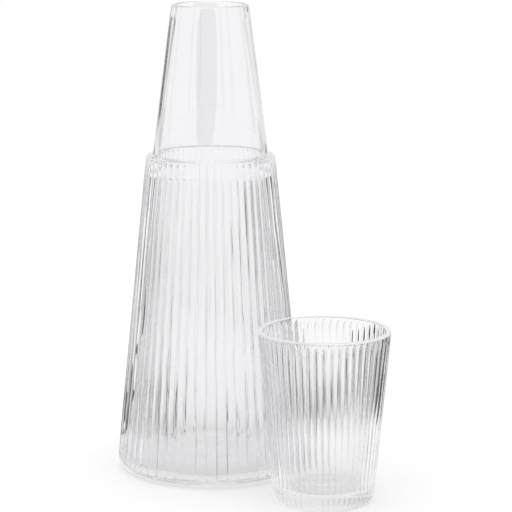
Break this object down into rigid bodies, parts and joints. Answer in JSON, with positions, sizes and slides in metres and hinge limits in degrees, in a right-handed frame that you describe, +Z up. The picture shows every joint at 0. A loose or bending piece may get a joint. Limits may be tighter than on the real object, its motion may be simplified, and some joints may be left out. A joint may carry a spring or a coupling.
{
  "type": "bedside carafe with tumbler",
  "caption": "Clear reeded glass water carafe with a plain neck, and a matching tumbler that turns over to cover the neck.",
  "frame": {"origin": "centre of the carafe's standing ring, on the table", "axes": "+Z up along the carafe's axis, +X to the right and +Y away from a viewer who faces it as pictured"},
  "size_m": [0.1458, 0.153, 0.256],
  "materials": {
    "carafe_glass": "clear, fire polished, reeded outside on the body",
    "tumbler_glass": "clear, fire polished, reeded outside"
  },
  "bodies": {
    "carafe": {"carafe": "carafe_glass"},
    "tumbler": {"tumbler": "tumbler_glass"}
  },
  "joints": [
    {"name": "tumbler_lift", "type": "slide", "parent": "carafe", "child": "tumbler", "axis": [0, 0, 1], "range_m": [0, 0.28]}
  ]
}
